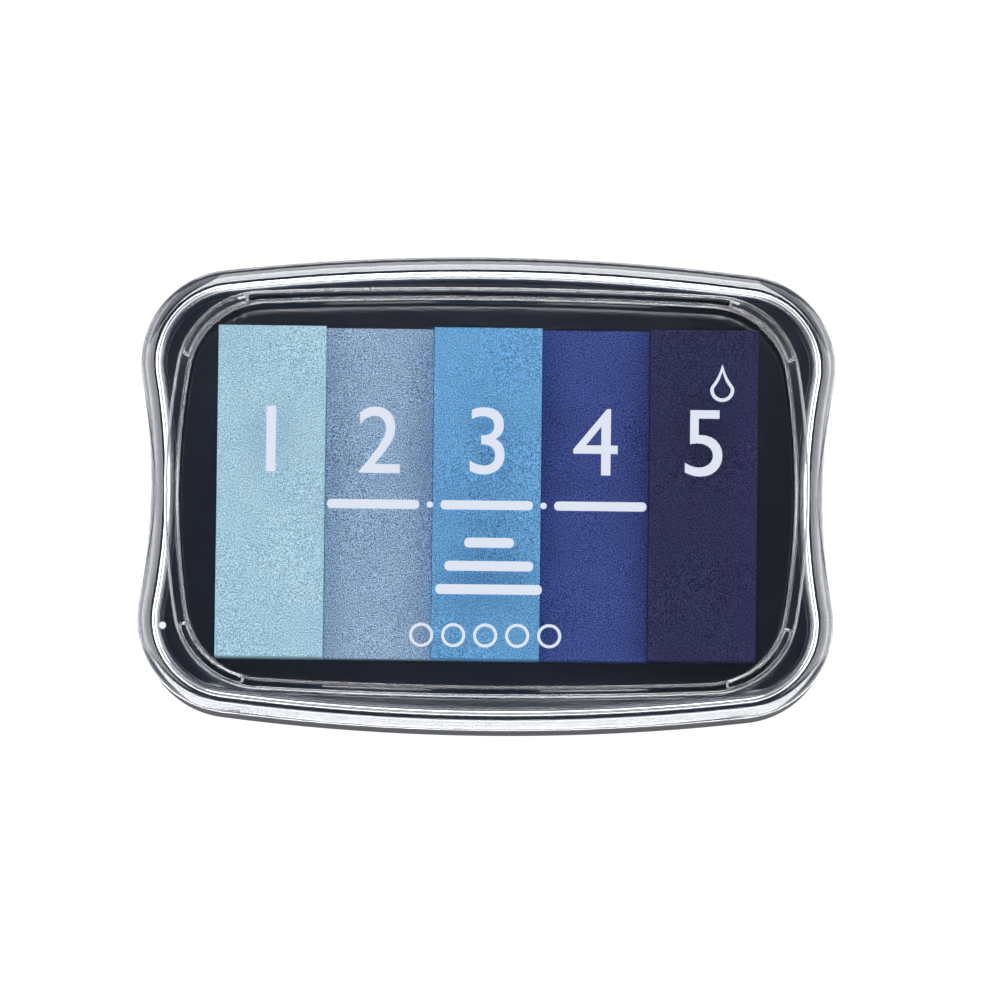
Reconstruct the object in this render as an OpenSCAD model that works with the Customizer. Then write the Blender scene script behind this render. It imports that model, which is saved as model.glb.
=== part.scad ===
// Raised ink pad in a stacking case: a black moulded base with five foam ink strips
// stuck to its floor, and a clear lid that lifts straight off.
// Origin: centre of the case on the surface it stands on. +X right, +Y back, +Z up.

/* [Case outline] */
// Width of the case at its widest
pad_w = 98; // [94:0.5:118]
// Depth of the case, front to back
pad_d = 67; // [55.5:0.5:81]
// Radius of the four corners
corner_r = 14; // [11:0.5:16]
// Radius of the gentle bow along the long sides
bow_r = 310; // [200:10:600]
// How far each finger grip dips in from the widest point
grip_dip = 1.45; // [0.8:0.05:1.9]

/* [Base] */
// Height of the base's outer wall, where the lid lands
base_h = 13.2; // [11:0.1:16]
// Thickness of the base moulding
base_t = 1.6; // [1.2:0.1:2]
// How far the base's outer wall stands inside the lid's
base_inset = 0.2; // [0.1:0.05:0.5]
// Depth of the deck below the lid's landing
deck_drop = 1.8; // [1:0.1:2.2]
// Depth of the pad floor below the lid's landing
floor_drop = 4.1; // [3.4:0.1:4.9]
// Thickness of the upstand that centres the lid
upstand_t = 1.1; // [0.8:0.1:1.3]
// Width of the deck between the well and the long walls' upstand
deck_w = 1.3; // [1:0.05:3]
// Width of the deck between the well and the upstand at the finger grips
grip_deck_w = 0.3; // [0.2:0.05:1]
// Corner radius of the well
well_corner_r = 11.5; // [9:0.5:13]
// Thickness of the stiffening ribs under the floor
stiffener_t = 1.2; // [0.8:0.1:1.6]
// Height of the stiffening ribs under the floor
stiffener_h = 1.4; // [0.8:0.1:1.8]
// Number of stiffening ribs across the base
cross_ribs = 4; // [2:1:6]
// Distance between the two stiffening ribs that run lengthwise
long_rib_gap = 24; // [16:1:30]

/* [Lid] */
// Height of the lid's rim above its landing
rim_h = 3; // [2.7:0.1:4]
// Thickness of the lid's outer wall
lid_wall = 2.2; // [1.8:0.1:2.6]
// Thickness of the lid's top
lid_t = 1.4; // [1.1:0.1:1.7]
// How far the middle panel stands above the rim
panel_rise = 0.8; // [0.4:0.1:1.2]
// Width of the rim outside the panel, at the finger grips
rim_w_grip = 2.15; // [1.8:0.05:3]
// Width of the rim outside the panel, at the long sides
rim_w_long = 5.1; // [3.8:0.05:6]
// Corner radius of the raised panel
panel_corner_r = 13; // [11:0.5:15]
// Radius of the bow of the panel's and the well's short sides
short_bow_r = 108; // [90:2:200]
// Radius of the bow of the panel's and the well's long sides
long_bow_r = 650; // [400:10:1000]

/* [Stacking ribs] */
// Height of the stacking ribs above the panel
rib_h = 1; // [0.6:0.1:1.5]
// Width of the stacking ribs
rib_w = 1.1; // [0.8:0.1:1.4]
// How far the stacking ribs stand inside the panel's edge
rib_inset = 0.15; // [0.1:0.05:0.6]
// Angle at which each rib starts, from the short side
rib_start = 16.5; // [10:0.5:25]
// Angle at which each rib ends
rib_end = 78; // [65:0.5:82]

/* [Ink strips] */
// Number of foam strips
strips = 5; // [3:1:6]
// Clear floor between the foam and the well's short sides
foam_side_gap = 5.7; // [4.6:0.1:8]
// Clear floor between the foam and the well's long sides
foam_end_gap = 5.35; // [4.5:0.05:8]
// How much lower every second strip stands
strip_drop = 2.8; // [1:0.1:3.2]
// Thickness of the adhesive sheet under each strip
tape_t = 0.2; // [0.1:0.05:0.3]
// Distance from each strip's edge to its adhesive sheet
tape_inset = 0.4; // [0.2:0.1:1]

/* [Printing on the lid] */
// Thickness of the printed layer
print_t = 0.1; // [0.05:0.01:0.2]
// Width of a printed numeral
numeral_w = 6; // [4:0.5:9]
// Height of a printed numeral
numeral_h = 10; // [6:0.5:11]
// Height of the numerals' middle above the middle of the lid
numeral_y = 7.2; // [4:0.2:10]

/* [Fits] */
// Gap between the lid's wall and the upstand
lid_gap = 0.15; // [0.1:0.01:0.3]
// Gap between the lid's rim and the top of the upstand
upstand_gap = 0.3; // [0.2:0.05:0.5]
// Gap between the lid and the tall strips
foam_gap = 0.4; // [0.3:0.05:0.8]
// Gap between neighbouring strips
strip_gap = 0.02; // [0.01:0.01:0.2]

/* [Hidden] */

// Heights of the levels, from the surface the case stands on
deck_z = base_h - deck_drop;
floor_z = base_h - floor_drop;
rim_z = base_h + rim_h;
panel_z = rim_z + panel_rise;
upstand_z = rim_z - lid_t - upstand_gap;
strip_bottom_z = floor_z + tape_t;
strip_top_z = panel_z - lid_t - foam_gap;

// The case outline: bowed long sides, round corners, dipped short sides
bow_y = pad_d / 2 - bow_r;
corner_x = pad_w / 2 - corner_r;
corner_y = bow_y + sqrt(pow(bow_r - corner_r, 2) - pow(corner_x, 2));
grip_half_w = pad_w / 2 - grip_dip;
grip_a = grip_half_w - corner_x;
grip_r = (pow(grip_a, 2) + pow(corner_y, 2) - pow(corner_r, 2)) / (2 * (corner_r - grip_a));
grip_angle = asin(corner_y / (grip_r + corner_r));
bow_angle = atan2(corner_y - bow_y, corner_x);

// Insets from the case outline
wall_inside = base_inset + base_t;
upstand_outside = lid_wall + lid_gap;
upstand_inside = upstand_outside + upstand_t;

// Half sizes of the raised panel and of the well
panel_half_w = grip_half_w - rim_w_grip;
panel_half_d = pad_d / 2 - rim_w_long;
well_half_w = grip_half_w - upstand_inside - grip_deck_w;
well_half_d = pad_d / 2 - upstand_inside - deck_w;

// The foam block and its strips
foam_half_w = well_half_w - foam_side_gap;
foam_half_d = well_half_d - foam_end_gap;
strip_pitch = 2 * foam_half_w / strips;
strip_w = strip_pitch - strip_gap;

// The printed marks
rule_w = 3.2 * strip_w;
rule_t = 1.3;
rule_y = -1.9;
line_w = [7, 12.5, 15];
line_t = 1.4;
line_gap = 3.3;
foot_mark = [22, 3.4];

arc_steps = 10;
overcut = 1;

// ---- outlines ----

// Points along an arc, without its first point, which ends the stretch before it
function arc_points(centre, r, from, to) =
  [for (i = [1:arc_steps]) let (a = from + (to - from) * i / arc_steps)
    centre + r * [cos(a), sin(a)]];

// A whole outline from its first quarter, which runs from the +X side to the +Y side
function four_quarters(q) = let (last = len(q) - 1) concat(
  q,
  [for (i = [last - 1:-1:0]) [-q[i][0], q[i][1]]],
  [for (i = [1:last]) [-q[i][0], -q[i][1]]],
  [for (i = [last - 1:-1:1]) [q[i][0], -q[i][1]]]
);

// The case outline, moved inwards by inset
function case_points(inset) = four_quarters(concat(
  [[grip_half_w - inset, 0]],
  arc_points([grip_half_w + grip_r, 0], grip_r + inset, 180, 180 - grip_angle),
  arc_points([corner_x, corner_y], corner_r - inset, -grip_angle, bow_angle),
  arc_points([0, bow_y], bow_r - inset, bow_angle, 90)
));

// Corner centre of a four-sided shape whose sides all bow outwards: it lies on a circle
// about the centre of the short side's bow and on one about the centre of the long side's
function bowed_corner(half_w, half_d, r) =
  let (
    short_centre = [half_w - short_bow_r, 0],
    long_centre = [0, half_d - long_bow_r],
    between = long_centre - short_centre,
    d = norm(between),
    along = (pow(short_bow_r - r, 2) - pow(long_bow_r - r, 2) + d * d) / (2 * d),
    across = sqrt(pow(short_bow_r - r, 2) - along * along),
    unit = between / d
  ) short_centre + along * unit + across * [-unit[1], unit[0]];

// Outline of the raised panel and of the well
function bowed_points(half_w, half_d, r) =
  let (
    c = bowed_corner(half_w, half_d, r),
    short_angle = atan2(c[1], c[0] - half_w + short_bow_r),
    long_angle = atan2(c[1] - half_d + long_bow_r, c[0])
  ) four_quarters(concat(
    [[half_w, 0]],
    arc_points([half_w - short_bow_r, 0], short_bow_r, 0, short_angle),
    arc_points(c, r, short_angle, long_angle),
    arc_points([0, half_d - long_bow_r], long_bow_r, long_angle, 90)
  ));

// ---- building blocks ----

module case_slab(inset, from, to) {
  translate([0, 0, from])
    linear_extrude(to - from)
      polygon(case_points(inset));
}

module bowed_slab(half_w, half_d, r, from, to) {
  translate([0, 0, from])
    linear_extrude(to - from)
      polygon(bowed_points(half_w, half_d, r));
}

module well_slab(grow, from, to) {
  bowed_slab(well_half_w + grow, well_half_d + grow, well_corner_r + grow, from, to);
}

module panel_slab(grow, from, to) {
  bowed_slab(panel_half_w + grow, panel_half_d + grow, panel_corner_r + grow, from, to);
}

// A block centred on X and Y
module block(size_x, size_y, from, to) {
  translate([-size_x / 2, -size_y / 2, from])
    cube([size_x, size_y, to - from]);
}

// ---- base ----

module base_tray() {
  color([0.11, 0.12, 0.15])
    union() {
      base_shell();
      stiffeners();
    }
}

module base_shell() {
  difference() {
    union() {
      case_slab(base_inset, 0, base_h);
      case_slab(upstand_outside, base_h - base_t, upstand_z);
    }
    case_slab(upstand_inside, deck_z, upstand_z + overcut);
    well_slab(0, floor_z, upstand_z + overcut);
    hollow_underneath();
  }
}

// The space under the floor, and the ring that rises beside the well's wall
module hollow_underneath() {
  case_slab(wall_inside, -overcut, floor_z - base_t);
  difference() {
    case_slab(wall_inside, floor_z - base_t - overcut, deck_z - base_t);
    well_slab(base_t, floor_z - base_t - 2 * overcut, deck_z);
  }
}

// Low ribs under the floor, which end inside the floor plate and the outer wall
module stiffeners() {
  bottom = floor_z - base_t - stiffener_h;
  top = floor_z - base_t / 2;
  intersection() {
    case_slab(wall_inside - base_t / 2, bottom, top);
    union() {
      for (side = [-1, 1])
        translate([0, side * long_rib_gap / 2, 0])
          block(pad_w, stiffener_t, bottom, top);
      for (i = [1:cross_ribs])
        translate([(i - (cross_ribs + 1) / 2) * pad_w / (cross_ribs + 1), 0, 0])
          block(stiffener_t, pad_d, bottom, top);
    }
  }
}

// ---- lid ----

module lid() {
  color([0.86, 0.9, 0.95, 0.35])
    union() {
      lid_shell();
      for (sx = [-1, 1], sy = [-1, 1])
        to_corner(sx, sy) stacking_rib();
    }
}

module lid_shell() {
  difference() {
    union() {
      case_slab(0, base_h, rim_z);
      panel_slab(0, rim_z - lid_t, panel_z);
    }
    case_slab(lid_wall, base_h - overcut, rim_z - lid_t);
    intersection() {
      case_slab(lid_wall, base_h - overcut, panel_z);
      panel_slab(-lid_t, base_h - overcut, panel_z - lid_t);
    }
  }
}

// Mirrors a child from the back right corner to another corner
module to_corner(sx, sy) {
  mirror([sx < 0 ? 1 : 0, 0, 0])
    mirror([0, sy < 0 ? 1 : 0, 0])
      children();
}

// Outline of a stacking rib about its panel corner: an arc with round ends
function rib_points() =
  let (
    outer_r = panel_corner_r - rib_inset,
    middle_r = outer_r - rib_w / 2,
    first_end = middle_r * [cos(rib_start), sin(rib_start)],
    last_end = middle_r * [cos(rib_end), sin(rib_end)]
  ) concat(
    arc_points([0, 0], outer_r, rib_start, rib_end),
    arc_points(last_end, rib_w / 2, rib_end, rib_end + 180),
    arc_points([0, 0], outer_r - rib_w, rib_end, rib_start),
    arc_points(first_end, rib_w / 2, rib_start + 180, rib_start + 360)
  );

// A rib that follows the panel's corner, rooted in the panel
module stacking_rib() {
  corner = bowed_corner(panel_half_w, panel_half_d, panel_corner_r);
  translate([corner[0], corner[1], panel_z - lid_t / 2])
    linear_extrude(rib_h + lid_t / 2)
      polygon(rib_points());
}

// Plain marks on the lid: a numeral's place over each strip, a rule, three short lines
// and one wider mark at the front
module lid_print() {
  color([0.92, 0.94, 0.97])
    translate([0, 0, panel_z]) {
      for (i = [1:strips])
        translate([strip_x(i), numeral_y, 0])
          block(numeral_w, numeral_h, 0, print_t);
      translate([0, rule_y, 0])
        block(rule_w, rule_t, 0, print_t);
      for (i = [0:len(line_w) - 1])
        translate([0, rule_y - (i + 1.6) * line_gap, 0])
          block(line_w[i], line_t, 0, print_t);
      translate([0, rule_y - (len(line_w) + 2.6) * line_gap, 0])
        block(foot_mark[0], foot_mark[1], 0, print_t);
    }
}

// ---- ink strips ----

// Middle of strip i, counted from the left
function strip_x(i) = (i - (strips + 1) / 2) * strip_pitch;

// Every second strip stands lower
function strip_top(i) = strip_top_z - (i % 2 == 0 ? strip_drop : 0);

module ink_strip(i) {
  translate([strip_x(i), 0, 0])
    block(strip_w, 2 * foam_half_d, strip_bottom_z, strip_top(i));
}

module strip_tape(i) {
  color([0.85, 0.84, 0.78])
    translate([strip_x(i), 0, 0])
      block(strip_w - 2 * tape_inset, 2 * (foam_half_d - tape_inset), floor_z, strip_bottom_z);
}

module ink_strip_1() { color([0.65, 0.79, 0.87]) ink_strip(1); }
module ink_strip_2() { color([0.49, 0.59, 0.78]) ink_strip(2); }
module ink_strip_3() { color([0.37, 0.59, 0.79]) ink_strip(3); }
module ink_strip_4() { color([0.24, 0.29, 0.54]) ink_strip(4); }
module ink_strip_5() { color([0.2, 0.21, 0.36]) ink_strip(5); }
module strip_tape_1() { strip_tape(1); }
module strip_tape_2() { strip_tape(2); }
module strip_tape_3() { strip_tape(3); }
module strip_tape_4() { strip_tape(4); }
module strip_tape_5() { strip_tape(5); }

base_tray();
lid();
lid_print();
ink_strip_1();
ink_strip_2();
ink_strip_3();
ink_strip_4();
ink_strip_5();
strip_tape_1();
strip_tape_2();
strip_tape_3();
strip_tape_4();
strip_tape_5();
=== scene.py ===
"""A raised ink pad in a stacking case: black base, five foam ink strips, clear printed lid.

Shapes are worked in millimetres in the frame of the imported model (+X right, +Y back,
+Z up) and scaled to metres when a piece is finished.
"""
import math

import bmesh
import bpy
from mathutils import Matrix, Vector


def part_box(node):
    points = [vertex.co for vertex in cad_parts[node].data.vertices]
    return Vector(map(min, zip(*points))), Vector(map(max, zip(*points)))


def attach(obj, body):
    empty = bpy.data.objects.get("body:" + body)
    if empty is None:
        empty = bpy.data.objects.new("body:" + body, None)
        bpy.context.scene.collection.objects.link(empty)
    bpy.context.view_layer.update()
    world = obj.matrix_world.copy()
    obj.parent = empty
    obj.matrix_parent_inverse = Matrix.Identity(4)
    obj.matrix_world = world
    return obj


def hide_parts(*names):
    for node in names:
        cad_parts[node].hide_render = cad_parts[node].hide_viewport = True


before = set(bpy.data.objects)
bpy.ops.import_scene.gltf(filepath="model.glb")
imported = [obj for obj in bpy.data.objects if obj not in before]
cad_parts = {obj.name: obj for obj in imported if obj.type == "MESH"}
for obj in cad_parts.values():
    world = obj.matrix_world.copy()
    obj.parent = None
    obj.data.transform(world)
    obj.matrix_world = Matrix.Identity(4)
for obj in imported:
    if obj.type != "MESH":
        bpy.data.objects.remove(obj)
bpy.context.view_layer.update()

MM = 0.001

# Case outline, seen from above
CORNER_R = 13.2
BOW_R = 310
GRIP_DIP = 1.6

# Panel and well outlines
SHORT_BOW_R = 108
LONG_BOW_R = 650

# Lid
LID_WALL = 2.2
LID_T = 1.4
PANEL_RISE = 0.8
RIB_H = 1.0
RIB_W = 1.0
RIB_INSET = 0.16
RIB_START = 16.5
RIB_END = 78
SHOULDER_R = 1.95
INNER_R = 0.9

# Base; heights are measured down from the landing that the lid stands on
BASE_INSET = 0.2
BASE_T = 1.6
DECK_DROP = 1.8
FLOOR_DROP = 4.1
UPSTAND_OUT = 2.35
UPSTAND_IN = 3.45
STIFFENER_T = 1.2
STIFFENER_H = 1.4
LONG_STIFFENER_Y = 12
CROSS_STIFFENERS = 4

# Ink strips: colour, and how strongly the grain shows, with its painted pore shade and painted glints
STRIP_INKS = [
    ((0.385, 0.600, 0.785), 1.0),
    ((0.315, 0.455, 0.790), 1.5),
    ((0.135, 0.368, 0.650), 1.2),
    ((0.045, 0.074, 0.280), 1.6),
    ((0.017, 0.018, 0.069), 1.5),
]


def span(node):
    """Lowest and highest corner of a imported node, in millimetres."""
    low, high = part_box(node)
    return low / MM, high / MM


base_high = span("base_tray")[1]
lid_low, lid_high = span("lid")
print_high = span("lid_print")[1]
strip_boxes = [span(f"ink_strip_{i}") for i in range(1, len(STRIP_INKS) + 1)]

LANDING_Z = lid_low.z
PANEL_Z = lid_high.z - RIB_H
RIM_Z = PANEL_Z - PANEL_RISE
DECK_Z = LANDING_Z - DECK_DROP
FLOOR_Z = LANDING_Z - FLOOR_DROP
UPSTAND_Z = base_high.z
GRIP_HALF_W = lid_high.x - GRIP_DIP

# Half width, half depth and corner radius of the panel, of the lid's ceiling and of the well
PANEL = (GRIP_HALF_W - 2.3, lid_high.y - 4.8, 12.1)
CEILING = (GRIP_HALF_W - 3.7, lid_high.y - 5.9, 11.6)
WELL = (GRIP_HALF_W - 3.75, lid_high.y - 4.75, 11.5)


# ---- outlines: the first quarter, as a start on the X axis and arcs of (centre, turn, steps) ----

CASE_STEPS = (12, 30, 18)
BOWED_STEPS = (12, 6, 18, 6, 18)


def case_outline(inset):
    """The case outline, moved inwards by inset: dipped grip, round corner, bowed side."""
    corner_x = lid_high.x - CORNER_R
    bow_y = lid_high.y - BOW_R
    corner_y = bow_y + math.sqrt((BOW_R - CORNER_R) ** 2 - corner_x**2)
    grip_a = GRIP_HALF_W - corner_x
    grip_r = (grip_a**2 + corner_y**2 - CORNER_R**2) / (2 * (CORNER_R - grip_a))
    grip_angle = math.asin(corner_y / (grip_r + CORNER_R))
    bow_angle = math.atan2(corner_y - bow_y, corner_x)
    return GRIP_HALF_W - inset, [
        ((GRIP_HALF_W + grip_r, 0), -grip_angle, CASE_STEPS[0]),
        ((corner_x, corner_y), grip_angle + bow_angle, CASE_STEPS[1]),
        ((0, bow_y), math.pi / 2 - bow_angle, CASE_STEPS[2]),
    ]


def bowed_corner(half_w, half_d, r):
    """Corner centre of a shape whose four sides all bow outwards."""
    short_centre = Vector((half_w - SHORT_BOW_R, 0))
    between = Vector((0, half_d - LONG_BOW_R)) - short_centre
    d = between.length
    along = ((SHORT_BOW_R - r) ** 2 - (LONG_BOW_R - r) ** 2 + d * d) / (2 * d)
    across = math.sqrt((SHORT_BOW_R - r) ** 2 - along**2)
    unit = between / d
    return short_centre + along * unit + across * Vector((-unit.y, unit.x))


def bowed_outline(half_w, half_d, r):
    """The panel's or the well's outline; the corner's arc is split where a rib starts and ends."""
    corner = bowed_corner(half_w, half_d, r)
    short_angle = math.atan2(corner.y, corner.x - half_w + SHORT_BOW_R)
    long_angle = math.atan2(corner.y - half_d + LONG_BOW_R, corner.x)
    first, last = math.radians(RIB_START), math.radians(RIB_END)
    return half_w, [
        ((half_w - SHORT_BOW_R, 0), short_angle, BOWED_STEPS[0]),
        (corner, first - short_angle, BOWED_STEPS[1]),
        (corner, last - first, BOWED_STEPS[2]),
        (corner, long_angle - last, BOWED_STEPS[3]),
        ((0, half_d - LONG_BOW_R), math.pi / 2 - long_angle, BOWED_STEPS[4]),
    ]


def grown(shape, grow):
    """A bowed outline moved outwards by grow."""
    half_w, half_d, r = shape
    return bowed_outline(half_w + grow, half_d + grow, r + grow)


def quarter_ring(bm, outline, z):
    """The edges of one quarter of an outline at height z."""
    start_x, arcs = outline
    tip = bm.verts.new((start_x, 0, z))
    before = len(bm.edges)
    for (x, y), turn, steps in arcs:
        made = bmesh.ops.spin(
            bm, geom=[tip], cent=(x, y, z), axis=(0, 0, 1), angle=turn, steps=steps
        )
        tip = made["geom_last"][0]
    bm.edges.ensure_lookup_table()
    return bm.edges[before:]


def round_over(outline_at, offset, z, r, start, end, steps=5):
    """Stations round an arc of the section: centre (offset, z), angles in degrees from outwards."""
    stations = []
    for i in range(steps + 1):
        a = math.radians(start + (end - start) * i / steps)
        stations.append((outline_at(offset + r * math.cos(a)), z + r * math.sin(a)))
    return stations


def case_at(offset):
    return case_outline(-offset)


def panel_at(offset):
    return grown(PANEL, offset)


def ceiling_at(offset):
    return grown(CEILING, offset)


def well_at(offset):
    return grown(WELL, offset)


def skin_quarter(bm, stations):
    """Faces between neighbouring stations, each an outline and its height."""
    rings = [quarter_ring(bm, outline, z) for outline, z in stations]
    for a, b in zip(rings, rings[1:]):
        bmesh.ops.bridge_loops(bm, edges=a + b)


def close_quarters(bm):
    """Mirrors a quarter to the whole, fills its flat middles and turns its faces outwards."""
    for axis in "XY":
        whole = bm.verts[:] + bm.edges[:] + bm.faces[:]
        bmesh.ops.mirror(bm, geom=whole, axis=axis, merge_dist=1e-3)
    bmesh.ops.remove_doubles(bm, verts=bm.verts, dist=1e-4)
    rim = [e for e in bm.edges if e.is_boundary]
    bmesh.ops.holes_fill(bm, edges=rim, sides=0)
    bmesh.ops.recalc_face_normals(bm, faces=bm.faces)


def finished(bm, name, body, material, smooth=True):
    """The bmesh as a piece of that name on a body, in metres."""
    bmesh.ops.scale(bm, vec=(MM, MM, MM), verts=bm.verts)
    for face in bm.faces:
        face.smooth = smooth
    mesh = bpy.data.meshes.new(name)
    bm.to_mesh(mesh)
    bm.free()
    mesh.materials.append(material)
    piece = bpy.data.objects.new(name, mesh)
    bpy.context.scene.collection.objects.link(piece)
    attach(piece, body)
    return piece


def keep_flats_flat(piece):
    """Shades large flat faces flat, and only the small faces between them rounded."""
    weighting = piece.modifiers.new("flats_first", "WEIGHTED_NORMAL")
    weighting.weight = 100


# ---- materials ----


def new_material(name):
    material = bpy.data.materials.new(name)
    material.use_nodes = True
    nodes, links = material.node_tree.nodes, material.node_tree.links
    return material, nodes, links, nodes["Principled BSDF"]


def group_tree(name, inputs, outputs):
    """An empty shader group with named value inputs and outputs of the given kinds."""
    tree = bpy.data.node_groups.new(name, "ShaderNodeTree")
    for label, default in inputs:
        socket = tree.interface.new_socket(label, in_out="INPUT", socket_type="NodeSocketFloat")
        socket.default_value = default
    for label in outputs:
        tree.interface.new_socket(label, in_out="OUTPUT", socket_type="NodeSocketFloat")
    return tree, tree.nodes.new("NodeGroupInput"), tree.nodes.new("NodeGroupOutput")


def plastic_wear_group():
    """Fine uneven gloss of a moulded surface, and a fine grain for its relief and tone."""
    tree, given, out = group_tree(
        "plastic_wear",
        [("Roughness", 0.3), ("Variation", 0.06), ("Grain Size", 900)],
        ["Roughness", "Height"],
    )
    nodes, links = tree.nodes, tree.links
    coords = nodes.new("ShaderNodeTexCoord")
    grain = nodes.new("ShaderNodeTexNoise")
    grain.inputs["Detail"].default_value = 3
    links.new(coords.outputs["Object"], grain.inputs["Vector"])
    links.new(given.outputs["Grain Size"], grain.inputs["Scale"])
    patches = nodes.new("ShaderNodeTexNoise")
    patches.inputs["Scale"].default_value = 90
    links.new(coords.outputs["Object"], patches.inputs["Vector"])
    centred = nodes.new("ShaderNodeMath")
    centred.operation = "SUBTRACT"
    centred.inputs[1].default_value = 0.5
    links.new(patches.outputs["Fac"], centred.inputs[0])
    rough = nodes.new("ShaderNodeMath")
    rough.operation = "MULTIPLY_ADD"
    links.new(centred.outputs[0], rough.inputs[0])
    links.new(given.outputs["Variation"], rough.inputs[1])
    links.new(given.outputs["Roughness"], rough.inputs[2])
    links.new(rough.outputs[0], out.inputs["Roughness"])
    links.new(grain.outputs["Fac"], out.inputs["Height"])
    return tree


def foam_grain_group():
    """Fine open-celled sponge: a mask for its grain, with painted shade in the pores and painted glints
    on the cell walls, and its relief.
    """
    tree, given, out = group_tree(
        "foam_grain", [("Cells", 6500), ("Patches", 160)], ["Speckle", "Patch", "Height"]
    )
    nodes, links = tree.nodes, tree.links
    coords = nodes.new("ShaderNodeTexCoord")
    cells = nodes.new("ShaderNodeTexNoise")
    cells.inputs["Detail"].default_value = 2
    cells.inputs["Roughness"].default_value = 0.65
    links.new(coords.outputs["Object"], cells.inputs["Vector"])
    links.new(given.outputs["Cells"], cells.inputs["Scale"])
    sharper = nodes.new("ShaderNodeMapRange")
    sharper.inputs["From Min"].default_value = 0.42
    sharper.inputs["From Max"].default_value = 0.58
    links.new(cells.outputs["Fac"], sharper.inputs["Value"])
    patches = nodes.new("ShaderNodeTexNoise")
    links.new(coords.outputs["Object"], patches.inputs["Vector"])
    links.new(given.outputs["Patches"], patches.inputs["Scale"])
    links.new(sharper.outputs["Result"], out.inputs["Speckle"])
    links.new(patches.outputs["Fac"], out.inputs["Patch"])
    links.new(sharper.outputs["Result"], out.inputs["Height"])
    return tree


PLASTIC_WEAR = plastic_wear_group()
FOAM_GRAIN_SHADE_GLINT = foam_grain_group()


def add_group(nodes, tree, **values):
    node = nodes.new("ShaderNodeGroup")
    node.node_tree = tree
    for label, value in values.items():
        node.inputs[label.replace("_", " ")].default_value = value
    return node


def add_bump(nodes, links, height, shader, strength, distance):
    bump = nodes.new("ShaderNodeBump")
    bump.inputs["Strength"].default_value = strength
    bump.inputs["Distance"].default_value = distance
    links.new(height, bump.inputs["Height"])
    links.new(bump.outputs["Normal"], shader.inputs["Normal"])


def add_tint(nodes, links, mask, first, second, shader):
    """A base colour that drifts between two close tones."""
    tint = nodes.new("ShaderNodeMix")
    tint.data_type = "RGBA"
    tint.inputs["A"].default_value = (*first, 1)
    tint.inputs["B"].default_value = (*second, 1)
    links.new(mask, tint.inputs["Factor"])
    links.new(tint.outputs["Result"], shader.inputs["Base Color"])


def add_shader_mix(nodes, links, share, first, second):
    """The first shader where share is 0, and the second where it is 1."""
    mix = nodes.new("ShaderNodeMixShader")
    links.new(share, mix.inputs[0])
    links.new(first, mix.inputs[1])
    links.new(second, mix.inputs[2])
    return mix.outputs["Shader"]


def black_plastic():
    material, nodes, links, shader = new_material("satin_black_plastic")
    shader.inputs["IOR"].default_value = 1.5
    shader.inputs["Specular IOR Level"].default_value = 0.35
    wear = add_group(nodes, PLASTIC_WEAR, Roughness=0.13, Variation=0.05, Grain_Size=2500)
    links.new(wear.outputs["Roughness"], shader.inputs["Roughness"])
    add_bump(nodes, links, wear.outputs["Height"], shader, 0.06, 0.00005)
    first, second = (0.019, 0.025, 0.040), (0.024, 0.030, 0.046)
    add_tint(nodes, links, wear.outputs["Height"], first, second, shader)
    return material


def clear_plastic():
    """Clear plastic that lets lamps through to what it covers."""
    material, nodes, links, shader = new_material("clear_styrene")
    shader.inputs["Base Color"].default_value = (0.985, 0.988, 1, 1)
    shader.inputs["IOR"].default_value = 1.57
    shader.inputs["Transmission Weight"].default_value = 1
    wear = add_group(nodes, PLASTIC_WEAR, Roughness=0.012, Variation=0.02, Grain_Size=700)
    links.new(wear.outputs["Roughness"], shader.inputs["Roughness"])
    through = nodes.new("ShaderNodeBsdfTransparent")
    path = nodes.new("ShaderNodeLightPath")
    surface = shader.outputs["BSDF"]
    for kind in ("Is Shadow Ray", "Is Diffuse Ray"):
        surface = add_shader_mix(nodes, links, path.outputs[kind], surface, through.outputs["BSDF"])
    links.new(surface, nodes["Material Output"].inputs["Surface"])
    return material


def white_ink():
    """Opaque screen ink, very slightly blue."""
    material, nodes, links, shader = new_material("white_print")
    wear = add_group(nodes, PLASTIC_WEAR, Roughness=0.4, Variation=0.2, Grain_Size=6000)
    links.new(wear.outputs["Roughness"], shader.inputs["Roughness"])
    first, second = (0.66, 0.70, 0.80), (0.74, 0.78, 0.87)
    add_tint(nodes, links, wear.outputs["Height"], first, second, shader)
    return material


def adhesive_film():
    """Cream double-sided film under the foam."""
    material, nodes, links, shader = new_material("adhesive_film")
    wear = add_group(nodes, PLASTIC_WEAR, Roughness=0.6, Variation=0.2, Grain_Size=1500)
    links.new(wear.outputs["Roughness"], shader.inputs["Roughness"])
    first, second = (0.66, 0.63, 0.52), (0.74, 0.72, 0.63)
    add_tint(nodes, links, wear.outputs["Height"], first, second, shader)
    return material


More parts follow.
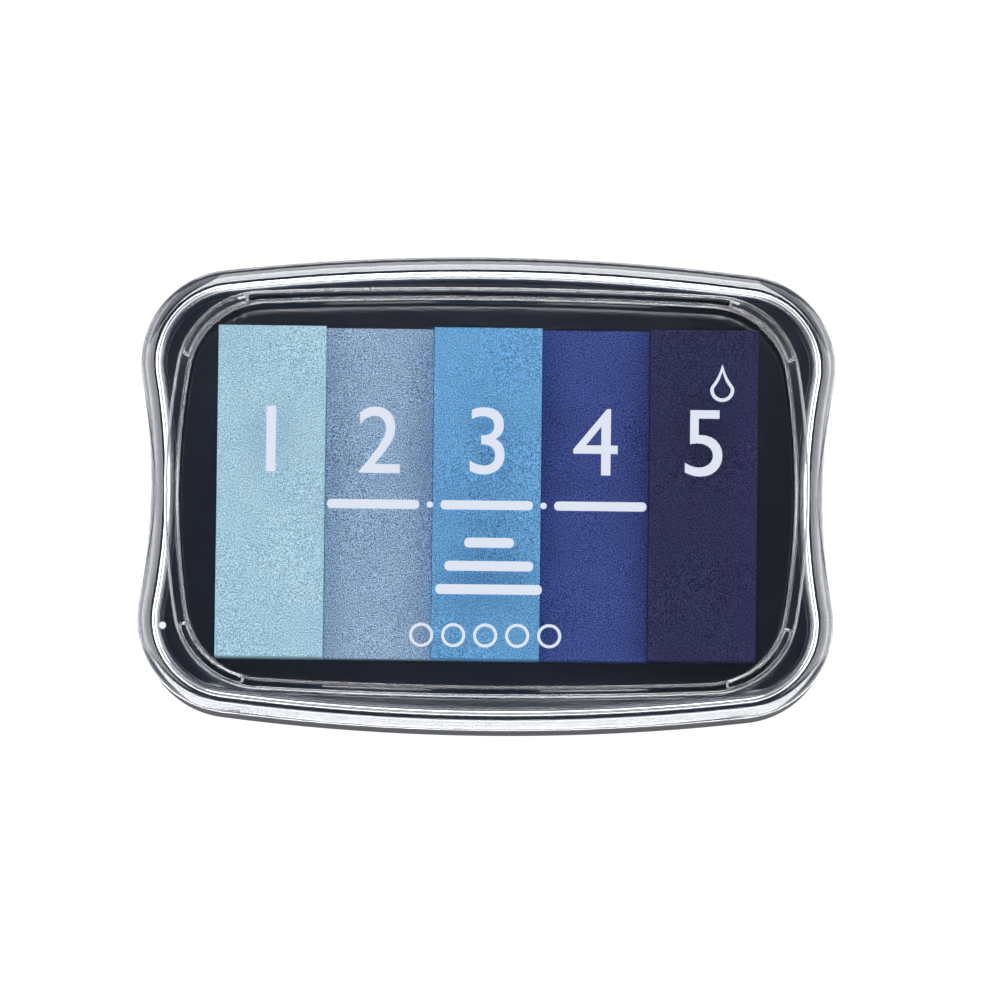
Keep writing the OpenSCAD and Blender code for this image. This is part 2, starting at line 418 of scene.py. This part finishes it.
def inked_foam(number, colour, grain_and_glint_contrast):
    """Foam soaked in one ink, its grain painted in: painted shade in its pores, painted whitish glints
    on its cell walls.
    """
    material, nodes, links, shader = new_material(f"inked_foam_{number}")
    shader.inputs["Specular IOR Level"].default_value = 0.06
    shader.inputs["Roughness"].default_value = 0.75
    grain = add_group(nodes, FOAM_GRAIN_SHADE_GLINT)
    pore_shade_and_glint = nodes.new("ShaderNodeMix")
    pore_shade_and_glint.data_type = "RGBA"
    # Painted shade: the pores go darker. Painted glints: the cell walls go lighter, with a small
    # whitish lift for the sparkle off wet foam.
    pore_shade = [c * (1 - 0.5 * grain_and_glint_contrast) for c in colour]
    wall = [min(1, c * (1 + 0.42 * grain_and_glint_contrast) + 0.012 * grain_and_glint_contrast) for c in colour]
    pore_shade_and_glint.inputs["A"].default_value = (*pore_shade, 1)
    pore_shade_and_glint.inputs["B"].default_value = (*wall, 1)
    links.new(grain.outputs["Speckle"], pore_shade_and_glint.inputs["Factor"])
    patchy = nodes.new("ShaderNodeMix")
    patchy.data_type = "RGBA"
    patchy.blend_type = "OVERLAY"
    patchy.inputs["Factor"].default_value = 0.16
    links.new(pore_shade_and_glint.outputs["Result"], patchy.inputs["A"])
    links.new(grain.outputs["Patch"], patchy.inputs["B"])
    links.new(patchy.outputs["Result"], shader.inputs["Base Color"])
    add_bump(nodes, links, grain.outputs["Height"], shader, 0.25, 0.00012)
    return material


# ---- base ----


def add_bar(bm, size, centre):
    """A rounded bar of that size."""
    made = bmesh.ops.create_cube(bm, size=1)
    bmesh.ops.scale(bm, vec=size, verts=made["verts"])
    bmesh.ops.translate(bm, vec=centre, verts=made["verts"])
    edges = list({e for v in made["verts"] for e in v.link_edges})
    bmesh.ops.bevel(
        bm, geom=edges, offset=0.2, segments=2, profile=0.5, affect="EDGES", material=-1
    )


def well_floor_sweep(steps=9):
    """The wide curve from the well's rim down to the floor, tighter at the grips."""
    foot = (WELL[0] - 0.55, WELL[1] - 1.75, WELL[2] - 0.6)
    stations = []
    for i in range(steps + 1):
        a = math.pi / 2 * i / steps
        share = 1 - math.cos(a)
        shape = [w + (f - w) * share for w, f in zip(WELL, foot)]
        stations.append((bowed_outline(*shape), FLOOR_Z + (DECK_Z - 0.3 - FLOOR_Z) * (1 - math.sin(a))))
    half_w, half_d, r = foot
    stations.append((bowed_outline(half_w - 1.5, half_d - 1.5, r - 1), FLOOR_Z))
    return stations


def add_stiffeners(bm, under):
    """The bars moulded across the hollow, hanging from its roof at height under."""
    bars = bmesh.new()
    half_w = GRIP_HALF_W - BASE_INSET - BASE_T + 0.3
    for side in (-1, 1):
        add_bar(
            bars,
            (2 * half_w, STIFFENER_T, STIFFENER_H + 0.5),
            (0, side * LONG_STIFFENER_Y, under - STIFFENER_H / 2 + 0.25),
        )
    for i in range(CROSS_STIFFENERS):
        x = (i - (CROSS_STIFFENERS - 1) / 2) * 2 * lid_high.x / (CROSS_STIFFENERS + 1)
        add_bar(
            bars,
            (STIFFENER_T, 2 * (lid_high.y - 3.6), STIFFENER_H + 0.4),
            (x, 0, under - STIFFENER_H / 2 + 0.3),
        )
    mesh = bpy.data.meshes.new("bars")
    bars.to_mesh(mesh)
    bars.free()
    bm.from_mesh(mesh)
    bpy.data.meshes.remove(mesh)


def base_tray():
    """Outer wall, landing, upstand, deck and well, with the hollow and its stiffeners below."""
    bm = bmesh.new()
    under = FLOOR_Z - BASE_T
    slot_top = DECK_Z - BASE_T
    landing = LANDING_Z - 0.03
    stations = [(well_at(BASE_T - 3), under), (well_at(BASE_T - 0.3), under)]
    stations += round_over(well_at, BASE_T - 0.3, under + 0.3, 0.3, -90, 0, 3)
    stations += round_over(well_at, BASE_T + 0.15, slot_top - 0.15, 0.15, 180, 90, 2)
    stations += round_over(case_at, -BASE_INSET - BASE_T - 0.15, slot_top - 0.15, 0.15, 90, 0, 2)
    stations += round_over(case_at, -BASE_INSET - BASE_T + 0.3, 0.3, 0.3, 180, 270, 3)
    stations += round_over(case_at, -BASE_INSET - 0.55, 0.45, 0.45, -90, 0, 5)
    stations += round_over(case_at, -BASE_INSET - 0.3, landing - 0.3, 0.3, 0, 90, 4)
    stations += round_over(case_at, -UPSTAND_OUT + 0.2, landing + 0.2, 0.2, 270, 180, 3)
    stations += round_over(case_at, -UPSTAND_OUT - 0.45, UPSTAND_Z - 0.35, 0.35, 0, 90, 5)
    stations += round_over(case_at, -UPSTAND_IN + 0.4, UPSTAND_Z - 0.35, 0.35, 90, 180, 5)
    stations += round_over(case_at, -UPSTAND_IN - 0.2, DECK_Z + 0.2, 0.2, 0, -90, 3)
    stations += round_over(well_at, 0.3, DECK_Z - 0.3, 0.3, 90, 180, 4)[:-1]
    stations += well_floor_sweep()
    skin_quarter(bm, stations)
    close_quarters(bm)
    add_stiffeners(bm, under)
    piece = finished(bm, "base_shell", "base", black_plastic())
    keep_flats_flat(piece)
    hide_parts("base_tray")


# ---- lid ----


def raise_rib(bm):
    """Extrudes the stacking rib out of the panel's corner, with round ends and soft edges."""
    corner = bowed_corner(*PANEL)
    outer = PANEL[2] - RIB_INSET
    picked = []
    for face in bm.faces:
        middle = face.calc_center_median()
        arm = middle.xy - corner
        angle = math.degrees(math.atan2(arm.y, arm.x))
        in_ring = outer - RIB_W < arm.length < outer
        if abs(middle.z - PANEL_Z) < 1e-4 and in_ring and RIB_START < angle < RIB_END:
            picked.append(face)
    made = bmesh.ops.extrude_face_region(bm, geom=picked)["geom"]
    raised = [v for v in made if isinstance(v, bmesh.types.BMVert)]
    bmesh.ops.translate(bm, vec=(0, 0, RIB_H), verts=raised)
    bmesh.ops.delete(bm, geom=[f for f in picked if f.is_valid], context="FACES_ONLY")
    uprights = []
    for edge in bm.edges:
        low, high = sorted(v.co.z for v in edge.verts)
        if high - low > RIB_H / 2 and low > PANEL_Z - 1e-4 and len(edge.link_faces) == 2:
            if edge.calc_face_angle() > 1:
                uprights.append(edge)
    bmesh.ops.bevel(
        bm, geom=uprights, offset=RIB_W * 0.42, segments=5, profile=0.5, affect="EDGES", material=-1
    )
    brinks = []
    for edge in bm.edges:
        heights = [v.co.z for v in edge.verts]
        if min(heights) < PANEL_Z - 1e-4 or len(edge.link_faces) != 2:
            continue
        if abs(heights[0] - heights[1]) < 1e-4 and edge.calc_face_angle() > 1:
            brinks.append(edge)
    bmesh.ops.bevel(
        bm, geom=brinks, offset=0.16, segments=3, profile=0.5, affect="EDGES", material=-1
    )


def lid():
    """Clear moulding: wall with a round shoulder, rim, raised panel and four stacking ribs."""
    bm = bmesh.new()
    ceiling = RIM_Z - LID_T
    stations = [
        (panel_at(-RIB_INSET - RIB_W - 1.5), PANEL_Z),
        (panel_at(-RIB_INSET - RIB_W - 0.4), PANEL_Z),
        (panel_at(-RIB_INSET - RIB_W), PANEL_Z),
        (panel_at(-RIB_INSET), PANEL_Z),
    ]
    stations += round_over(panel_at, -0.14, PANEL_Z - 0.14, 0.14, 90, 12, 4)
    stations += round_over(panel_at, 0.33, RIM_Z + 0.28, 0.28, 192, 270)
    stations += [(panel_at(0.37), RIM_Z), (case_at(-SHOULDER_R - 0.04), RIM_Z)]
    stations += round_over(case_at, -SHOULDER_R, RIM_Z - SHOULDER_R, SHOULDER_R, 90, 0, 18)
    stations += round_over(case_at, -0.2, LANDING_Z + 0.2, 0.2, 0, -90, 3)
    stations += round_over(case_at, 0.2 - LID_WALL, LANDING_Z + 0.2, 0.2, -90, -180, 3)
    stations += round_over(case_at, -LID_WALL - INNER_R, ceiling - INNER_R, INNER_R, 0, 90, 6)
    stations += [(case_at(-LID_WALL - INNER_R - 0.05), ceiling), (ceiling_at(0.3), ceiling)]
    stations += round_over(ceiling_at, 0.25, ceiling + 0.25, 0.25, 270, 180, 4)
    stations += round_over(ceiling_at, -0.3, ceiling + PANEL_RISE - 0.3, 0.3, 0, 90, 4)
    stations += [(ceiling_at(-0.4), ceiling + PANEL_RISE), (ceiling_at(-1.5), ceiling + PANEL_RISE)]
    skin_quarter(bm, stations)
    raise_rib(bm)
    close_quarters(bm)
    piece = finished(bm, "lid_shell", "lid", clear_plastic())
    keep_flats_flat(piece)
    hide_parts("lid")
    return piece


# ---- ink strips ----


def foam_strip(number, low, high, colour, grain_and_glint_contrast):
    """A foam block cut square, its top edge just broken, its faces pitted by the cells."""
    cell = 0.42
    edge_r = 0.12
    half = (high.xy - low.xy) / 2
    bm = bmesh.new()
    top_half = half - Vector((edge_r, edge_r))
    made = bmesh.ops.create_grid(
        bm,
        x_segments=round(2 * top_half.x / cell),
        y_segments=round(2 * top_half.y / cell),
        size=1,
    )
    bmesh.ops.scale(bm, vec=(top_half.x, top_half.y, 1), verts=made["verts"])
    brink = [e for e in bm.edges if e.is_boundary]
    height = high.z - low.z
    steps = [(edge_r * math.sin(a), edge_r * (1 - math.cos(a))) for a in (0.52, 1.05, 1.57)]
    depth = edge_r
    while depth + cell * 1.5 < height:
        depth += cell
        steps.append((edge_r, depth))
    steps.append((edge_r, height))
    reach, drop = 0, 0
    for out, down in steps:
        made = bmesh.ops.extrude_edge_only(bm, edges=brink)["geom"]
        verts = [v for v in made if isinstance(v, bmesh.types.BMVert)]
        brink = [e for e in made if isinstance(e, bmesh.types.BMEdge) and e.is_boundary]
        grow = [(t + out) / (t + reach) for t in top_half]
        bmesh.ops.scale(bm, vec=(*grow, 1), verts=verts)
        bmesh.ops.translate(bm, vec=(0, 0, drop - down), verts=verts)
        reach, drop = out, down
    bmesh.ops.holes_fill(bm, edges=[e for e in bm.edges if e.is_boundary], sides=0)
    bmesh.ops.recalc_face_normals(bm, faces=bm.faces)
    centre = (low + high) / 2
    bmesh.ops.translate(bm, vec=(centre.x, centre.y, high.z), verts=bm.verts)
    foam = inked_foam(number, colour, grain_and_glint_contrast)
    piece = finished(bm, f"foam_strip_{number}", "base", foam)
    for name, size, depth in (("pores", 0.45, 0.07), ("swell", 9, 0.12)):
        texture = bpy.data.textures.new(f"{name}_{number}", "CLOUDS")
        texture.noise_scale = size * MM
        texture.noise_depth = 1
        relief = piece.modifiers.new(name, "DISPLACE")
        relief.texture = texture
        relief.texture_coords = "LOCAL"
        relief.direction = "Z"
        relief.mid_level = 1
        relief.strength = depth * MM
    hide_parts(f"ink_strip_{number}")


# ---- printing on the lid ----

PRINT_LIFT = 0.012
PRINT_T = 0.03
PRINT_Z = PANEL_Z + PRINT_LIFT
NUMERAL_SIZE = 13.6
NUMERAL_Y = print_high.y - 5

# Three rules with a dot between each two
RULE_Y = -1.9
RULE_L = 13.0
RULE_GAP = 3
RULE_T = 1.3
DOT_W = 0.9

# Three short lines, getting wider towards the front
LINE_X = 0.4
LINE_Y = -7.2
LINE_PITCH = 3.3
LINE_LENGTHS = (7, 12.5, 15)
LINE_T = 1.4

# A row of rings at the foot, and a drop at the back; x, y, radius, line and pull to a point
RING_PITCH = 4.5
FOOT_RINGS = [(i * RING_PITCH, -20.3, 1.7, 0.42, 0) for i in (-2, -1, 0, 1, 2)]
DROP = (33, 14.8, 1.7, 0.5, 1)

# The gate's blush on the rim
GATE_AT = (-45.4, -19.3)
GATE_R = 0.5
GATE_FLATTEN = 0.12


def printed_numeral(text, size, x, y, ink, name):
    """One numeral in the plain built-in face, its middle at (x, y)."""
    curve = bpy.data.curves.new(name, "FONT")
    curve.body = text
    curve.size = size
    curve.extrude = PRINT_T / 2
    curve.resolution_u = 6
    maker = bpy.data.objects.new(name + "_outline", curve)
    bpy.context.scene.collection.objects.link(maker)
    graph = bpy.context.evaluated_depsgraph_get()
    mesh = bpy.data.meshes.new_from_object(maker.evaluated_get(graph))
    bpy.data.objects.remove(maker)
    bm = bmesh.new()
    bm.from_mesh(mesh)
    bpy.data.meshes.remove(mesh)
    bmesh.ops.remove_doubles(bm, verts=bm.verts, dist=1e-3)
    bmesh.ops.dissolve_degenerate(bm, edges=bm.edges, dist=1e-3)
    low = [min(v.co[i] for v in bm.verts) for i in range(3)]
    high = [max(v.co[i] for v in bm.verts) for i in range(3)]
    centre = [(a + b) / 2 for a, b in zip(low, high)]
    place = (x - centre[0], y - centre[1], PRINT_Z + PRINT_T / 2 - centre[2])
    bmesh.ops.translate(bm, vec=place, verts=bm.verts)
    bmesh.ops.recalc_face_normals(bm, faces=bm.faces)
    piece = finished(bm, name, "lid", ink, smooth=False)
    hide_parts("lid_print")


def add_round_bar(bm, x, y, width, height):
    """A printed bar with round ends."""
    made = bmesh.ops.create_cube(bm, size=1)
    bmesh.ops.scale(bm, vec=(width, height, PRINT_T), verts=made["verts"])
    bmesh.ops.translate(bm, vec=(x, y, PRINT_Z + PRINT_T / 2), verts=made["verts"])
    uprights = {e for v in made["verts"] for e in v.link_edges}
    uprights = [e for e in uprights if abs(e.verts[0].co.z - e.verts[1].co.z) > PRINT_T / 2]
    bmesh.ops.bevel(
        bm,
        geom=uprights,
        offset=min(width, height) * 0.46,
        segments=6,
        profile=0.5,
        affect="EDGES",
        material=-1,
    )


def printed_bars(name, bars, ink):
    """Bars with round ends as one piece; each is x, y, width and height."""
    bm = bmesh.new()
    for bar in bars:
        add_round_bar(bm, *bar)
    piece = finished(bm, name, "lid", ink, smooth=False)
    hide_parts("lid_print")


def add_outline(bm, x, y, r, line, pull):
    """A printed ring, drawn out to a point at the back by pull: 0 leaves it round."""
    rims = []
    for reach in (r, r - line):
        made = bmesh.ops.create_circle(bm, radius=reach, segments=48)["verts"]
        for v in made:
            rise = max(0, v.co.y / reach)
            v.co.y += 1.1 * pull * reach * rise**4
            v.co.x *= 1 - 0.75 * pull * rise**2
        bmesh.ops.translate(bm, vec=(x, y, PRINT_Z), verts=made)
        rims += list({e for v in made for e in v.link_edges})
    band = bmesh.ops.bridge_loops(bm, edges=rims)["faces"]
    raised = bmesh.ops.extrude_face_region(bm, geom=band, use_keep_orig=True)["geom"]
    raised = [v for v in raised if isinstance(v, bmesh.types.BMVert)]
    bmesh.ops.translate(bm, vec=(0, 0, PRINT_T), verts=raised)


def printed_outlines(name, outlines, ink):
    """Rings and drops as one piece."""
    bm = bmesh.new()
    for outline in outlines:
        add_outline(bm, *outline)
    bmesh.ops.recalc_face_normals(bm, faces=bm.faces)
    piece = finished(bm, name, "lid", ink, smooth=False)
    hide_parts("lid_print")


def gate_mark():
    """The small blush left on the rim where the lid was moulded."""
    bm = bmesh.new()
    bmesh.ops.create_uvsphere(bm, u_segments=20, v_segments=10, radius=GATE_R)
    bmesh.ops.scale(bm, vec=(1, 1, GATE_FLATTEN), verts=bm.verts)
    bmesh.ops.translate(bm, vec=(*GATE_AT, RIM_Z), verts=bm.verts)
    blush, nodes, links, shader = new_material("gate_blush")
    shader.inputs["Base Color"].default_value = (0.82, 0.84, 0.88, 1)
    wear = add_group(nodes, PLASTIC_WEAR, Roughness=0.5, Variation=0.2, Grain_Size=5000)
    links.new(wear.outputs["Roughness"], shader.inputs["Roughness"])
    piece = finished(bm, "gate_mark", "lid", blush)
    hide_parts("lid")


def lid_printing():
    ink = white_ink()
    for number, (low, high) in enumerate(strip_boxes, 1):
        x = (low.x + high.x) / 2
        name = f"printed_numeral_{number}"
        printed_numeral(str(number), NUMERAL_SIZE, x, NUMERAL_Y, ink, name)
    pitch = RULE_L + RULE_GAP
    rule = [(side * pitch, RULE_Y, RULE_L, RULE_T) for side in (-1, 0, 1)]
    rule += [(side * pitch / 2, RULE_Y, DOT_W, DOT_W) for side in (-1, 1)]
    printed_bars("printed_rule", rule, ink)
    lines = [(LINE_X, LINE_Y - i * LINE_PITCH, w, LINE_T) for i, w in enumerate(LINE_LENGTHS)]
    printed_bars("printed_lines", lines, ink)
    printed_outlines("printed_foot_rings", FOOT_RINGS, ink)
    printed_outlines("printed_drop", [DROP], ink)


# ---- studio ----

# Metres from the pad to every lamp
LAMP_DISTANCE = 0.8


def studio_world():
    """Bright low down all round and dark overhead, so that flat clear tops stay clear."""
    world = bpy.data.worlds.new("studio")
    world.use_nodes = True
    nodes, links = world.node_tree.nodes, world.node_tree.links
    coords = nodes.new("ShaderNodeTexCoord")
    split = nodes.new("ShaderNodeSeparateXYZ")
    ramp = nodes.new("ShaderNodeValToRGB")
    links.new(coords.outputs["Generated"], split.inputs[0])
    links.new(split.outputs["Z"], ramp.inputs["Fac"])
    stops = [(0.0, 0.2), (0.06, 0.25), (0.12, 0.9), (0.66, 0.9), (0.82, 0.15), (0.93, 0.015)]
    elements = ramp.color_ramp.elements
    elements[0].position, elements[1].position = stops[0][0], stops[-1][0]
    for position, _ in stops[1:-1]:
        elements.new(position)
    for element, (_, level) in zip(elements, stops):
        element.color = (level * 0.98, level * 0.99, level, 1)
    background = nodes["Background"]
    background.inputs["Strength"].default_value = 2.1
    links.new(ramp.outputs["Color"], background.inputs["Color"])
    bpy.context.scene.world = world


def soft_lamp(name, azimuth, elevation, width, height, glow, lit):
    """A flat soft lamp of that brightness, facing the pad, that only the given pieces pick up.

    Azimuth is measured from the back towards the right, and both sizes are angles.
    """
    lamp = bpy.data.lights.new(name, "AREA")
    lamp.shape = "RECTANGLE"
    lamp.size = 2 * LAMP_DISTANCE * math.tan(math.radians(width / 2))
    lamp.size_y = 2 * LAMP_DISTANCE * math.tan(math.radians(height / 2))
    lamp.energy = glow * math.pi * lamp.size * lamp.size_y
    lamp.color = (0.96, 0.97, 1)
    obj = bpy.data.objects.new(name, lamp)
    bpy.context.scene.collection.objects.link(obj)
    a, e = math.radians(azimuth), math.radians(elevation)
    away = Vector((math.sin(a) * math.cos(e), math.cos(a) * math.cos(e), math.sin(e)))
    obj.location = away * LAMP_DISTANCE
    obj.rotation_euler = away.to_track_quat("Z", "Y").to_euler()
    obj.visible_camera = False
    obj.light_linking.receiver_collection = lit


# Azimuth, elevation, width and height in degrees, and brightness
LID_LAMPS = [
    (0, 20, 26, 32, 5),
    (0, 57, 26, 42, 14),
    (-90, 12, 34, 18, 3.5),
    (-90, 49, 34, 56, 5),
    (90, 12, 34, 18, 3.5),
    (90, 49, 34, 56, 4.5),
    (180, 50, 30, 18, 6),
    (-45, 30, 60, 50, 1),
    (45, 30, 60, 50, 1),
    (-135, 30, 60, 40, 0.7),
    (135, 30, 60, 40, 0.7),
]


def edge_lamps(lid_piece):
    """Soft lamps for the clear lid alone, that give it and what it covers their bright edges."""
    lit = bpy.data.collections.new("lamps_light")
    lit.objects.link(lid_piece)
    for i, lamp in enumerate(LID_LAMPS):
        soft_lamp(f"lid_lamp_{i}", *lamp, lit)


def pale_floor():
    """A plain pale floor that reads as white paper, and isn't there when seen from below."""
    bm = bmesh.new()
    bmesh.ops.create_grid(bm, x_segments=1, y_segments=1, size=3)
    mesh = bpy.data.meshes.new("floor")
    bm.to_mesh(mesh)
    bm.free()
    material, nodes, links, shader = new_material("white_paper")
    shader.inputs["Base Color"].default_value = (0.3, 0.3, 0.31, 1)
    shader.inputs["Roughness"].default_value = 0.9
    glow = nodes.new("ShaderNodeEmission")
    glow.inputs["Color"].default_value = (1, 1, 1, 1)
    glow.inputs["Strength"].default_value = 1.05
    path = nodes.new("ShaderNodeLightPath")
    side = nodes.new("ShaderNodeNewGeometry")
    through = nodes.new("ShaderNodeBsdfTransparent")
    seen, lit = path.outputs["Is Camera Ray"], shader.outputs["BSDF"]
    paper = add_shader_mix(nodes, links, seen, lit, glow.outputs["Emission"])
    surface = add_shader_mix(nodes, links, side.outputs["Backfacing"], paper, through.outputs["BSDF"])
    links.new(surface, nodes["Material Output"].inputs["Surface"])
    mesh.materials.append(material)
    floor = bpy.data.objects.new("floor", mesh)
    floor.location.z = -0.1 * MM
    bpy.context.scene.collection.objects.link(floor)


def place_camera():
    """Nearly overhead, from the front, with a long lens."""
    tilt = math.radians(84.5)
    turn = math.radians(0.66)
    aim = Vector((0.00185, 0.0005, 0))
    distance = 1.7
    back = Vector((math.sin(turn) * math.cos(tilt), -math.cos(turn) * math.cos(tilt), math.sin(tilt)))
    camera = bpy.data.cameras.new("camera")
    camera.sensor_width = 36
    view_width = 0.1422
    camera.lens = camera.sensor_width * distance / view_width
    camera.clip_end = 20
    obj = bpy.data.objects.new("camera", camera)
    bpy.context.scene.collection.objects.link(obj)
    obj.location = aim + back * distance
    obj.rotation_euler = (-back).to_track_quat("-Z", "Y").to_euler()
    bpy.context.scene.camera = obj


# ---- the whole pad ----

bpy.context.scene.view_settings.view_transform = "Standard"
bpy.context.scene.cycles.caustics_reflective = False
bpy.context.scene.cycles.caustics_refractive = False
place_camera()
studio_world()
pale_floor()
base_tray()
film = adhesive_film()
for strip, ((low, high), ink) in enumerate(zip(strip_boxes, STRIP_INKS), 1):
    foam_strip(strip, low, high, *ink)
    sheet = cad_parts[f"strip_tape_{strip}"]
    sheet.data.materials.clear()
    sheet.data.materials.append(film)
edge_lamps(lid())
gate_mark()
lid_printing()
